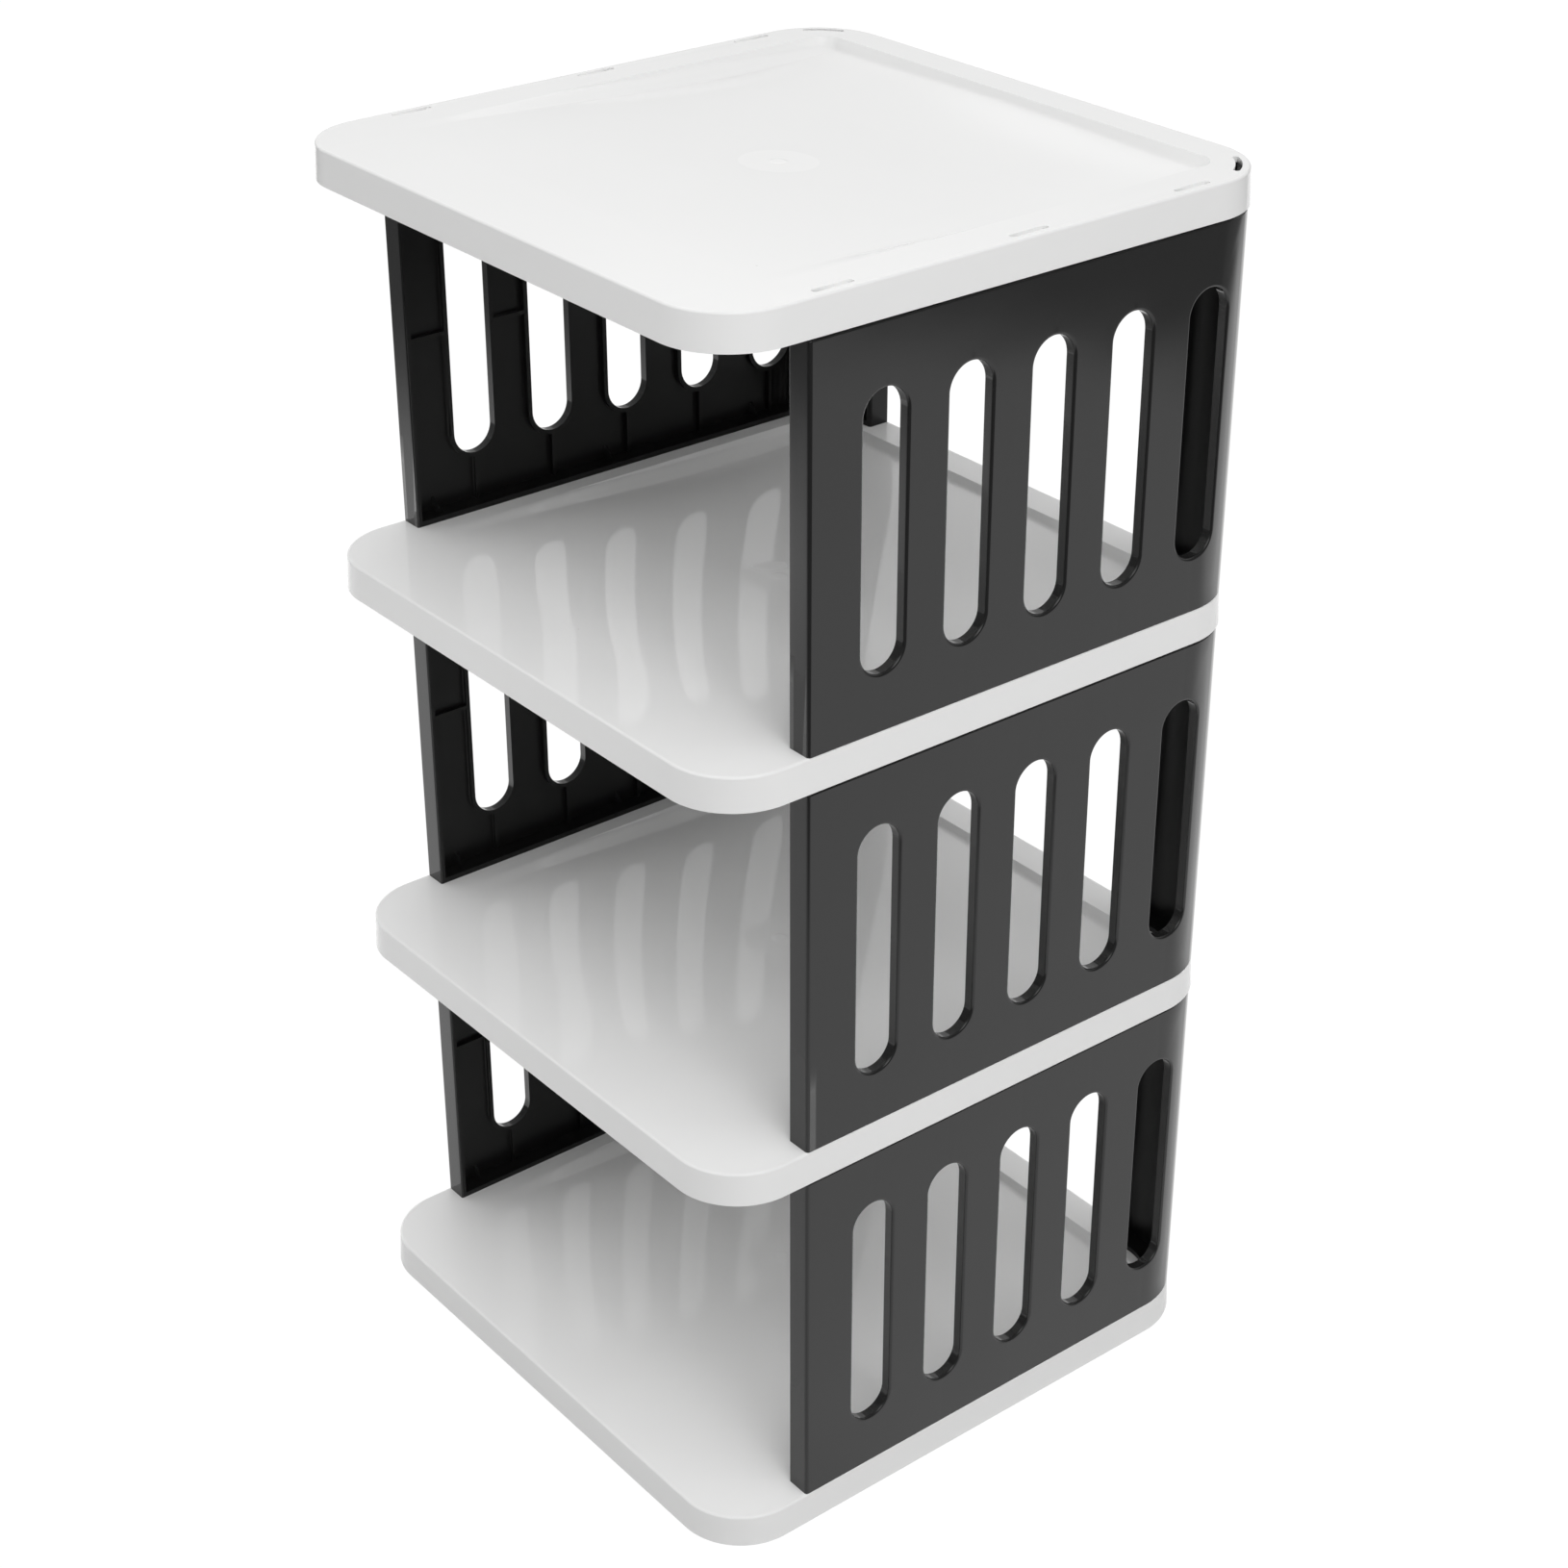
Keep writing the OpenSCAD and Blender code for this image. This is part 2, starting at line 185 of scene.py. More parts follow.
RIGHT_EDGE = (1.74, 1.4, 0.25)

paper_mesh = bpy.data.meshes.new("pale_floor")
paper_mesh.from_pydata(
    [(-PAPER_HALF, -PAPER_HALF, 0), (PAPER_HALF, -PAPER_HALF, 0),
     (PAPER_HALF, PAPER_HALF, 0), (-PAPER_HALF, PAPER_HALF, 0)],
    [], [(0, 1, 2, 3)])
paper_sheet = bpy.data.objects.new("pale_floor", paper_mesh)
bpy.context.collection.objects.link(paper_sheet)
paper = bpy.data.materials.new("pale_paper")
paper.use_nodes = True
tree = paper.node_tree
tree.nodes.clear()
straight, mirrored = ray_kinds(tree)
place = tree.nodes.new("ShaderNodeTexCoord").outputs["Object"]
behind = along_way(tree, place, BEHIND)
aside = along_way(tree, place, ASIDE)
# Painted light in mirrors: a pool of light on the paper, painted dark at its edges
painted_light_pool = ramp(tree, behind, *FAR_SIDE)
left_side = (*LEFT_SIDE, ramp(tree, behind, *LEFT_LEVEL))
for across, edge in ((behind, NEAR_EDGE), (aside, LEFT_EDGE), (aside, RIGHT_EDGE), (aside, left_side)):
    painted_light_pool = calc(tree, "MULTIPLY", painted_light_pool, ramp(tree, across, *edge, 1.0))
paper_body = tree.nodes.new("ShaderNodeBsdfDiffuse")
paper_body.inputs["Color"].default_value = PAPER_TONE
paper_white = tree.nodes.new("ShaderNodeEmission")
glow = calc(tree, "MULTIPLY_ADD", straight, PAPER_GLOW, calc(tree, "MULTIPLY", mirrored, painted_light_pool))
wire(tree, glow, paper_white.inputs["Strength"])
paper_mix = tree.nodes.new("ShaderNodeMixShader")
wire(tree, calc(tree, "MULTIPLY_ADD", straight, PAPER_SEEN, mirrored), paper_mix.inputs[0])
wire(tree, paper_body.outputs[0], paper_mix.inputs[1])
wire(tree, paper_white.outputs[0], paper_mix.inputs[2])
wire(tree, paper_mix.outputs[0], tree.nodes.new("ShaderNodeOutputMaterial").inputs["Surface"])
paper_mesh.materials.append(paper)

LAMP_SIZE = 1.2
LAMP_AIM = (0.0, 0.0, 0.35)


def soft_lamp(name, place, power):
    """Square soft lamp at a place, turned towards the rack's middle."""
    data = bpy.data.lights.new(name, "AREA")
    data.shape = "SQUARE"
    data.size = LAMP_SIZE
    data.energy = power
    lamp = bpy.data.objects.new(name, data)
    lamp.location = place
    lamp.rotation_euler = (Vector(place) - Vector(LAMP_AIM)).to_track_quat("Z", "Y").to_euler()
    bpy.context.collection.objects.link(lamp)


soft_lamp("front_lamp", (-0.1, -1.1, 2.0), 3.8)
soft_lamp("corner_lamp", (1.3, -0.7, 1.5), 8.6)


# Trays
# Four equal injection mouldings in white polypropylene: a skirt, a flat rim with eight tab slots,
# and a dished floor with a soft step at its sides and rear. The gate left a stub and a dull round
# mark in each floor's middle. Each tray but the lowest rests on the tongues of the panels below it.
TIER_PITCH = 193.0
TRAY_FEET = {
    "bottom_tray": 0.0, "lower_tray": TIER_PITCH,
    "upper_tray": 2 * TIER_PITCH, "top_tray": 3 * TIER_PITCH}
TRAY_HEIGHT = 16.0
HALF_WIDTH = 150.0
FRONT_CORNER = 32.0
REAR_CORNER = 36.0
FRONT_BEND = HALF_WIDTH - FRONT_CORNER
REAR_BEND = HALF_WIDTH - REAR_CORNER
SKIRT_FLARE = 0.8
SKIRT_MIDDLE = 7.4
RIM_EDGE = 1.2
RIM_LAP = 0.15
RIM_TUCK = 0.01
DISH_HALF = 129.0
DISH_REAR = 132.5
DISH_FRONT = -110.0
DISH_CORNER = 10.5
START_SOFT = 6.0
START_REACH = 170.0
FLOOR_SPAN = 132.0
FLOOR_ALONG = (5.928, 5.919, -3.717, -4.924)
FLOOR_ACROSS = (-5.422, 8.91, 1.433)
FLOOR_FLANKS = (5.47, -9.306)
SIDE_STEP = 0.95
SIDE_STEP_START = -34.0
SIDE_STEP_FULL = 20.0
SIDE_FALLS = ((8.0, 0.021), (70.0, 0.019))
SIDE_SLOPE = 10.0
STEP_LEAN = 0.6
STEP_STRAIGHT = 0.75
STEP_FOOT = 7.5
STEP_EDGE = 0.25
STEP_EDGE_REACH = 0.35
GATE_RADIUS = 17.5
GATE_SINK = 0.008
GATE_BLEND = 0.4
STUB_RADIUS = 3.5
STUB_RISE = 0.3
STUB_BLEND = 0.25
UNDER_GAP = 1.2
UNDER_REACH = 11.0
UNDER_CUTS = (4.0, 8.0, 11.0, 14.0, 17.0, 20.0, 24.0, 29.0)
DISH_SLACK = 0.5
OPEN_SLOTS = (-90.0, 9.0, 99.0)
SLOT_INSET = 5.0
WEB_HALF_WIDTH = 1.6
WEB_HALF_LENGTH = 10.2
WEB_DEPTH = 2.2
CAD_JOIN = 2e-6
PIECE_JOIN = 4e-6
CREASE = 32.0


def plan_run(*parts):
    """Points and outward directions along straight runs and arcs in plan. A straight part is its
    two ends and its steps, and faces to the right of its heading; an arc is its centre, radius, two
    angles in degrees and steps."""
    points, facing = [], []
    for part in parts:
        share = np.linspace(0.0, 1.0, part[-1] + 1)[:, None]
        if len(part) == 3:
            start, end = np.array(part[0], float), np.array(part[1], float)
            points.append(start + (end - start) * share)
            heading = (end - start) / np.hypot(*(end - start))
            facing.append(np.repeat([[heading[1], -heading[0]]], len(share), axis=0))
        else:
            centre, radius, first, last, _ = part
            angle = np.radians(first + (last - first) * share)
            way = np.concatenate([np.cos(angle), np.sin(angle)], axis=1)
            points.append(np.array(centre) + radius * way)
            facing.append(way)
    return np.concatenate(points), np.concatenate(facing)


def carried(run, profile):
    """Surface that a profile of (distance out, height) pairs sweeps as it is carried along a plan
    run."""
    points, facing = run
    profile = np.array(profile)
    flat = points[:, None, :] + facing[:, None, :] * profile[None, :, :1]
    height = np.broadcast_to(profile[None, :, 1:], (len(points), len(profile), 1))
    return np.concatenate([flat, height], axis=2)


def arc_profile(out, height, radius, steps):
    """Pairs on a quarter circle of a profile, round a centre, from straight out to straight up."""
    angle = np.radians(np.linspace(0, 90, steps + 1))
    pairs = np.stack([out + radius * np.cos(angle), height + radius * np.sin(angle)], axis=1)
    return [tuple(pair) for pair in pairs]


def add_grid(body, grid, finish=0):
    """Adds a grid of points in millimetres to a mesh body as four-sided faces with one finish. They
    face the way of the cross product of a step along the rows and a step along the columns."""
    rows, columns = grid.shape[:2]
    corner = (np.arange(rows - 1)[:, None] * columns + np.arange(columns - 1)[None, :]).reshape(-1)
    faces = np.stack([corner, corner + columns, corner + columns + 1, corner + 1], axis=1)
    patch = bpy.data.meshes.new("patch")
    patch.from_pydata((grid.reshape(-1, 3) * MM).tolist(), [], faces.tolist())
    patch.polygons.foreach_set("material_index", np.full(len(faces), finish, dtype=np.int32))
    body.from_mesh(patch)
    bpy.data.meshes.remove(patch)


def node_body(node):
    """Mesh body of a CAD node's copy, with its loose triangles joined at their shared corners."""
    body = bmesh.new()
    body.from_mesh(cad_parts[node].data)
    bmesh.ops.remove_doubles(body, verts=body.verts, dist=CAD_JOIN)
    return body


def finish_piece(body, name, materials):
    """Makes the piece from its mesh body: doubles joined, and smooth light broken at edges sharper
    than CREASE degrees."""
    bmesh.ops.remove_doubles(body, verts=body.verts, dist=PIECE_JOIN)
    mesh = bpy.data.meshes.new(name)
    body.to_mesh(mesh)
    body.free()
    for material in materials:
        mesh.materials.append(material)
    mesh.polygons.foreach_set("use_smooth", np.ones(len(mesh.polygons), dtype=bool))
    mesh.set_sharp_from_angle(angle=math.radians(CREASE))
    piece = bpy.data.objects.new(name, mesh)
    bpy.context.collection.objects.link(piece)
    even = piece.modifiers.new("even_light", "WEIGHTED_NORMAL")
    even.keep_sharp = True
    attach(piece, "root")
    return piece


def dish_inset(x, y):
    """Distance in from the dish's edge: to the nearest side, or to the arc at a rear corner."""
    over_x = np.abs(x) - (DISH_HALF - DISH_CORNER)
    over_y = y - (DISH_REAR - DISH_CORNER)
    corner = np.hypot(np.maximum(over_x, 0.0), np.maximum(over_y, 0.0))
    flat = np.minimum(np.maximum(over_x, over_y), 0.0)
    return np.maximum(DISH_CORNER - corner - flat, 0.0)


def eased(value, low, high):
    """0 below low, 1 above high, and the cubic 3q^2 - 2q^3 between them."""
    share = np.clip((value - low) / (high - low), 0.0, 1.0)
    return share * share * (3.0 - 2.0 * share)


def open_floor(x, y):
    """Depth of the open floor, read from the slots mirrored in the lower floors: a cubic in v along
    the middle, with weak terms in u^2 and u^4 across the tray, where u is x / DISH_HALF and v is y
    / FLOOR_SPAN."""
    u, v = x / DISH_HALF, y / FLOOR_SPAN
    middle = FLOOR_ALONG[0] + FLOOR_ALONG[1] * v + FLOOR_ALONG[2] * v ** 2 + FLOOR_ALONG[3] * v ** 3
    across = FLOOR_ACROSS[0] + FLOOR_ACROSS[1] * v + FLOOR_ACROSS[2] * v ** 2
    return middle + u ** 2 * across + u ** 4 * (FLOOR_FLANKS[0] + FLOOR_FLANKS[1] * v)


def round_patch(away, radius, blend):
    """1 inside a radius and 0 outside it, by the logistic curve 1 / (1 + e^t) with t = (away -
    radius) / blend."""
    return 1.0 / (1.0 + np.exp(np.clip((away - radius) / blend, -50.0, 50.0)))


def dish_depth(x, y):
    """Depth below the rim. From the open floor is taken what it would be at the front line, times a
    share that fades out along START_REACH; a hyperbola in y softens the start. Near a side it eases
    to the side step's own depth. The step falls straight for STEP_STRAIGHT of its depth, then
    flattens as (1 - q)^p over the rest of its foot. An exponential rounds its edge."""
    soft_y = DISH_FRONT + np.sqrt((y - DISH_FRONT) ** 2 + START_SOFT ** 2) - START_SOFT
    fade = 1.0 - np.clip((soft_y - DISH_FRONT) / START_REACH, 0.0, 1.0)
    floor = open_floor(x, soft_y) - open_floor(x, DISH_FRONT) * fade
    side = SIDE_STEP * eased(y, SIDE_STEP_START, SIDE_STEP_FULL)
    for start, slope in SIDE_FALLS:
        side = side + np.maximum(y - start, 0.0) * slope
    base = np.maximum(side + (floor - side) * eased(DISH_HALF - np.abs(x), 0.0, SIDE_SLOPE), 1e-4)
    inset = dish_inset(x, y)
    straight_depth = base * STEP_STRAIGHT
    straight_run = straight_depth * STEP_LEAN
    share = np.clip((inset - straight_run) / (STEP_FOOT - straight_run), 0.0, 1.0)
    power = (STEP_FOOT - straight_run) / (STEP_LEAN * (base - straight_depth))
    foot = base - (base - straight_depth) * (1.0 - share) ** power
    depth = np.where(inset < straight_run, inset / STEP_LEAN, foot)
    edge = STEP_EDGE * np.exp(-inset / STEP_EDGE_REACH) * np.minimum(base, 1.0) * (inset > 0.0)
    away = np.hypot(x, y)
    gate = GATE_SINK * round_patch(away, GATE_RADIUS, GATE_BLEND)
    stub = STUB_RISE * round_patch(away, STUB_RADIUS, STUB_BLEND)
    return np.maximum(depth - edge, 0.0) + gate - stub


def spread(stops, steps):
    """Runs of even steps from stop to stop."""
    runs = [np.linspace(a, b, n, endpoint=False) for a, b, n in zip(stops[:-1], stops[1:], steps)]
    return np.concatenate(runs + [np.array([stops[-1]])])


def dish_grid(top):
    """Grid over the dish, from side to side and from front to rear, finer at the steps and the
    gate. Each line across is as wide as the dish is there, which is the full width less what the
    corner's circle takes away near the rear."""
    side = spread([0.0, 0.04, 0.7, 0.93, 0.985, 1.0], [10, 60, 20, 16, 12])
    across = np.concatenate([-side[::-1], side[1:]])
    along = spread(
        [DISH_FRONT, -20.0, -5.0, 5.0, 20.0, 118.0, 126.0, DISH_REAR], [30, 8, 20, 12, 36, 14, 30])
    over = np.maximum(along - (DISH_REAR - DISH_CORNER), 0.0)
    half = DISH_HALF - DISH_CORNER + np.sqrt(np.maximum(DISH_CORNER ** 2 - over ** 2, 0.0))
    x = across[:, None] * half[None, :]
    y = np.repeat(along[None, :], len(across), axis=0)
    return np.stack([x, y, top - dish_depth(x, y)], axis=2)


def lower_underside(body, foot):
    """Cuts the shell along the lines UNDER_CUTS in from the dish's sides, then lowers its underside
    and its ribs' tops to at least UNDER_GAP below the dish."""
    for inset in UNDER_CUTS:
        for hand in (-1.0, 1.0):
            line = (hand * (DISH_HALF - inset) * MM, 0.0, 0.0)
            parts = body.verts[:] + body.edges[:] + body.faces[:]
            bmesh.ops.bisect_plane(body, geom=parts, plane_co=line, plane_no=(1.0, 0.0, 0.0))
    cut = bpy.data.meshes.new("cut_shell")
    body.to_mesh(cut)
    place = np.empty(3 * len(cut.vertices), dtype=np.float32)
    cut.vertices.foreach_get("co", place)
    x, y, z = place.reshape(-1, 3).T / MM
    inside = (dish_inset(x, y) > DISH_SLACK) & (y > DISH_FRONT + DISH_SLACK)
    under = inside & (z > foot + TRAY_HEIGHT - UNDER_REACH)
    low = np.where(under, np.minimum(z, foot + TRAY_HEIGHT - UNDER_GAP - dish_depth(x, y)), z)
    place = np.stack([x, y, low], axis=1).astype(np.float32).ravel() * np.float32(MM)
    cut.vertices.foreach_set("co", place)
    body.clear()
    body.from_mesh(cut)
    bpy.data.meshes.remove(cut)


def slot_web(side, middle):
    """Thin flat web that closes one open slot just above its foot."""
    x = side * (HALF_WIDTH - SLOT_INSET) + np.array([-WEB_HALF_WIDTH, 0.0, WEB_HALF_WIDTH])
    y = middle + np.array([-WEB_HALF_LENGTH, 0.0, WEB_HALF_LENGTH])
    height = np.full((3, 3), TRAY_HEIGHT - WEB_DEPTH)
    return np.stack([*np.meshgrid(x, y, indexing="ij"), height], axis=2)


def skirt_out(x, y):
    """Distance out from a tray's top edge in plan: from the nearest side, or from the arc at a
    corner."""
    radius = FRONT_CORNER if y < 0 else REAR_CORNER
    over_x = abs(x) - HALF_WIDTH + radius
    over_y = abs(y) - HALF_WIDTH + radius
    return math.hypot(max(over_x, 0.0), max(over_y, 0.0)) + min(max(over_x, over_y), 0.0) - radius


# How near the middle of a CAD face lies to the surface that it belongs to, how deep the dish's
# faces lie at most, and limits on how far up the faces of each kind point
FACE_NEAR = 0.1
FACE_CLOSE = 0.02
DISH_DEEPEST = 9.0
RIM_SLACK = 0.001
DISH_FACES_UP = 0.2
SKIRT_FACES_UP = 0.5
EDGE_FACES_UP = (0.02, 0.9999)


def tray_face_goes(x, y, z, upward):
    """Whether a finer surface replaces a CAD face, from the face's middle in the tray and its
    normal's z: the dish and its steps, the skirt's outside, and the rounded edge between the skirt
    and the rim."""
    out = skirt_out(x, y)
    in_plan = abs(x) < DISH_HALF and DISH_FRONT - DISH_SLACK < y < DISH_REAR
    in_height = TRAY_HEIGHT - DISH_DEEPEST < z < TRAY_HEIGHT - RIM_SLACK
    dish = in_plan and in_height and upward > DISH_FACES_UP
    skirt = out > -FACE_NEAR and abs(upward) < SKIRT_FACES_UP
    by_edge = out > -RIM_EDGE - FACE_CLOSE and z > TRAY_HEIGHT - RIM_EDGE - FACE_NEAR
    edge = by_edge and EDGE_FACES_UP[0] < upward < EDGE_FACES_UP[1]
    return dish or skirt or edge


def node_group(name, numbers, result):
    """Shader group with named number inputs and one output; gives the group and its two end
    nodes."""
    group = bpy.data.node_groups.new(name, "ShaderNodeTree")
    for label, value in numbers:
        socket = group.interface.new_socket(label, in_out="INPUT", socket_type="NodeSocketFloat")
        socket.default_value = value
    group.interface.new_socket(result, in_out="OUTPUT", socket_type="NodeSocketFloat")
    return group, group.nodes.new("NodeGroupInput"), group.nodes.new("NodeGroupOutput")


def noise(tree, place, scale, detail=2.0, roughness=0.5):
    """Noise texture on the given coordinates; gives its value socket."""
    node = tree.nodes.new("ShaderNodeTexNoise")
    node.inputs["Detail"].default_value = detail
    node.inputs["Roughness"].default_value = roughness
    fill(tree, node.inputs["Scale"], scale)
    wire(tree, place, node.inputs["Vector"])
    return node.outputs[0]


# Slow waves and fine orange peel of a moulded skin, as a height in metres
moulded_skin, skin_in, skin_out = node_group(
    "moulded_skin",
    [("Wave Scale", 12.0), ("Wave Height", 0.0001), ("Peel Scale", 300.0), ("Peel Height", 0.000005)],
    "Height")
skin_place = moulded_skin.nodes.new("ShaderNodeTexCoord").outputs["Object"]
wave = noise(moulded_skin, skin_place, skin_in.outputs["Wave Scale"], detail=1.0)
peel = noise(moulded_skin, skin_place, skin_in.outputs["Peel Scale"])
peel = calc(moulded_skin, "MULTIPLY", peel, skin_in.outputs["Peel Height"])
skin_height = calc(moulded_skin, "MULTIPLY_ADD", wave, skin_in.outputs["Wave Height"], peel)
wire(moulded_skin, skin_height, skin_out.inputs["Height"])

# Sparse specks of dust and rub marks, as a mask: the middles of a fifth of the cells of a cell
# pattern
dust_specks, dust_in, dust_out = node_group("dust_specks", [("Scale", 60.0), ("Size", 0.05)], "Mask")
speck_cells = dust_specks.nodes.new("ShaderNodeTexVoronoi")
dust_place = dust_specks.nodes.new("ShaderNodeTexCoord").outputs["Object"]
wire(dust_specks, dust_place, speck_cells.inputs["Vector"])
wire(dust_specks, dust_in.outputs["Scale"], speck_cells.inputs["Scale"])
speck_near = calc(dust_specks, "LESS_THAN", speck_cells.outputs["Distance"], dust_in.outputs["Size"])
speck_tones = dust_specks.nodes.new("ShaderNodeSeparateColor")
wire(dust_specks, speck_cells.outputs["Color"], speck_tones.inputs[0])
speck_kept = calc(dust_specks, "GREATER_THAN", speck_tones.outputs[0], 0.8)
wire(dust_specks, calc(dust_specks, "MULTIPLY", speck_near, speck_kept), dust_out.inputs["Mask"])


def place_group(tree, group, **numbers):
    """Puts a shader group into a material with its own values; gives its output socket."""
    node = tree.nodes.new("ShaderNodeGroup")
    node.node_tree = group
    for label, value in numbers.items():
        fill(tree, node.inputs[label.replace("_", " ")], value)
    return node.outputs[0]


# The plastics' greys have slightly less blue in them than red and green
GREY_BLUE = 0.996


def two_tones(tree, mask, dark, light):
    """Colour between two tones, by a mask from 0 to 1. A tone is a grey number or a socket."""
    node = tree.nodes.new("ShaderNodeMix")
    node.data_type = "RGBA"
    wire(tree, mask, node.inputs[0])
    for place, tone in ((6, dark), (7, light)):
        colour = (tone, tone, tone * GREY_BLUE, 1.0) if isinstance(tone, float) else tone
        fill(tree, node.inputs[place], colour)
    return node.outputs[2]


def raised(tree, height):
    """Bump node for a height in metres; gives its normal socket."""
    node = tree.nodes.new("ShaderNodeBump")
    node.inputs["Distance"].default_value = 1.0
    wire(tree, height, node.inputs["Height"])
    return node.outputs["Normal"]


def new_plastic(name, specular):
    """Material with the plain settings of polypropylene; gives it, its node tree, its shader and
    its coordinates."""
    material = bpy.data.materials.new(name)
    material.use_nodes = True
    shader = material.node_tree.nodes["Principled BSDF"]
    shader.inputs["IOR"].default_value = 1.5
    shader.inputs["Specular IOR Level"].default_value = specular
    place = material.node_tree.nodes.new("ShaderNodeTexCoord").outputs["Object"]
    return material, material.node_tree, shader, place


# White plastic, faintly cloudy and specked, with a weak gloss that the gate's round mark dulls
TRAY_DARK = 0.86
TRAY_LIGHT = 0.885
TRAY_SPECK = 0.78
TRAY_ROUGHNESS = 0.035
TRAY_UNEVENNESS = 0.03
GATE_DULLNESS = 0.22
GATE_DULL_BLEND = 0.7

tray_white, tree, shader, place = new_plastic("white_moulded_plastic", 0.26)
cloudy = noise(tree, place, scale=9.0, detail=3.0, roughness=0.55)
specks = place_group(tree, dust_specks, Scale=45.0, Size=0.035)
clean = two_tones(tree, cloudy, TRAY_DARK, TRAY_LIGHT)
wire(tree, two_tones(tree, specks, clean, TRAY_SPECK), shader.inputs["Base Color"])
flat_place = tree.nodes.new("ShaderNodeVectorMath")
flat_place.operation = "MULTIPLY"
flat_place.inputs[1].default_value = (1.0, 1.0, 0.0)
wire(tree, place, flat_place.inputs[0])
away = tree.nodes.new("ShaderNodeVectorMath")
away.operation = "LENGTH"
wire(tree, flat_place.outputs[0], away.inputs[0])
mark_in = (GATE_RADIUS - GATE_DULL_BLEND) * MM
mark_out = (GATE_RADIUS + GATE_DULL_BLEND) * MM
dull = ramp(tree, away.outputs["Value"], mark_in, mark_out, GATE_DULLNESS, 0.0)
uneven = calc(tree, "MULTIPLY_ADD", cloudy, TRAY_UNEVENNESS, TRAY_ROUGHNESS)
wire(tree, calc(tree, "ADD", uneven, dull), shader.inputs["Roughness"])
skin = place_group(
    tree, moulded_skin, Wave_Scale=26.0, Wave_Height=0.000022, Peel_Scale=260.0, Peel_Height=0.000002)
wire(tree, raised(tree, skin), shader.inputs["Normal"])

rim_run = plan_run(
    ((HALF_WIDTH, -FRONT_BEND), (HALF_WIDTH, REAR_BEND), 40),
    ((REAR_BEND, REAR_BEND), REAR_CORNER, 0, 90, 48),
    ((REAR_BEND, HALF_WIDTH), (-REAR_BEND, HALF_WIDTH), 40),
    ((-REAR_BEND, REAR_BEND), REAR_CORNER, 90, 180, 48),
    ((-HALF_WIDTH, REAR_BEND), (-HALF_WIDTH, -FRONT_BEND), 40),
    ((-FRONT_BEND, -FRONT_BEND), FRONT_CORNER, 180, 270, 42),
    ((-FRONT_BEND, -HALF_WIDTH), (FRONT_BEND, -HALF_WIDTH), 40),
    ((FRONT_BEND, -FRONT_BEND), FRONT_CORNER, 270, 360, 42))
skirt_profile = [(SKIRT_FLARE, 0.0), (SKIRT_FLARE / 2, SKIRT_MIDDLE)]
skirt_profile += arc_profile(-RIM_EDGE, TRAY_HEIGHT - RIM_EDGE, RIM_EDGE, 10)
skirt_profile += [(-RIM_EDGE - RIM_LAP, TRAY_HEIGHT - RIM_TUCK)]
for node, foot in TRAY_FEET.items():
    body = node_body(node)
    gone = []
    for face in body.faces:
        x, y, z = face.calc_center_median() / MM
        if tray_face_goes(x, y, z - foot, face.normal.z):
            gone.append(face)
    bmesh.ops.delete(body, geom=gone, context="FACES")
    lower_underside(body, foot)
    add_grid(body, carried(rim_run, skirt_profile) + (0.0, 0.0, foot))
    if node == "top_tray":
        for side in (-1.0, 1.0):
            for middle in OPEN_SLOTS:
                add_grid(body, slot_web(side, middle) + (0.0, 0.0, foot))
    shell = finish_piece(body, node + "_moulding", [tray_white])
    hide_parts(node)
    body = bmesh.new()
    add_grid(body, dish_grid(foot + TRAY_HEIGHT))
    finish_piece(body, node + "_floor", [tray_white])


# Side panels
# Six injection mouldings in black polypropylene, three of each hand. Each is a shell with five
# lipped vents, which follows the trays' edge round the rear corner. Its tabs drop into the rim of
# the tray below. Its face and vent walls are glossy, and its inner side and ribs are duller, with
# their colour painted darker as shade.
PANEL_FEET = {
    "lower": TRAY_HEIGHT, "middle": TRAY_HEIGHT + TIER_PITCH, "upper": TRAY_HEIGHT + 2 * TIER_PITCH}
SHOULDER = 176.0
SHOULDER_EDGE = 0.8
FACE_TOP = SHOULDER - SHOULDER_EDGE
PANEL_FRONT = -105.0
PANEL_EDGE = 1.6
FLANGE_DEPTH = 12.4
FLANGE_INNER = HALF_WIDTH - FLANGE_DEPTH
FLANGE_EDGE = 0.8
RETURN_END = 100.0
VENTS = 5
VENT_HALF = 11.3
VENT_FOOT = 37.3
VENT_HEAD = 137.2
VENT_PITCH = 44.1
VENT_FIRST = -66.7
MOUTH_EDGE = 1.3
LIP_DEPTH = 5.2
LIP_WAIST = 3.2
FLAT_WITHIN = 0.3
SINK_ABOVE = (149.0, 153.0)
SINK_BELOW = (22.0, 25.0)


def merge_flats(body):
    """Joins the triangles of each flat face into one, so that smooth edges don't bend the light
    across it."""
    bmesh.ops.dissolve_limit(
        body, angle_limit=math.radians(FLAT_WITHIN), verts=body.verts, edges=body.edges)


def bent_place(run, height):
    """Place on the panel's face, from the distance along its plan and a height. The face is flat up
    to the bend, then follows the corner's circle."""
    angle = np.maximum(run - REAR_BEND, 0.0) / REAR_CORNER
    x = HALF_WIDTH - REAR_CORNER + REAR_CORNER * np.cos(angle)
    y = np.minimum(run, REAR_BEND) + REAR_CORNER * np.sin(angle)
    return np.stack([x, y, height], axis=-1)


def run_at(y):
    """Distance along the plan at which the face has a given y: y itself, or the arc's length past
    the bend."""
    past = np.maximum(y - REAR_BEND, 0.0)
    return np.minimum(y, REAR_BEND) + REAR_CORNER * np.arcsin(past / REAR_CORNER)


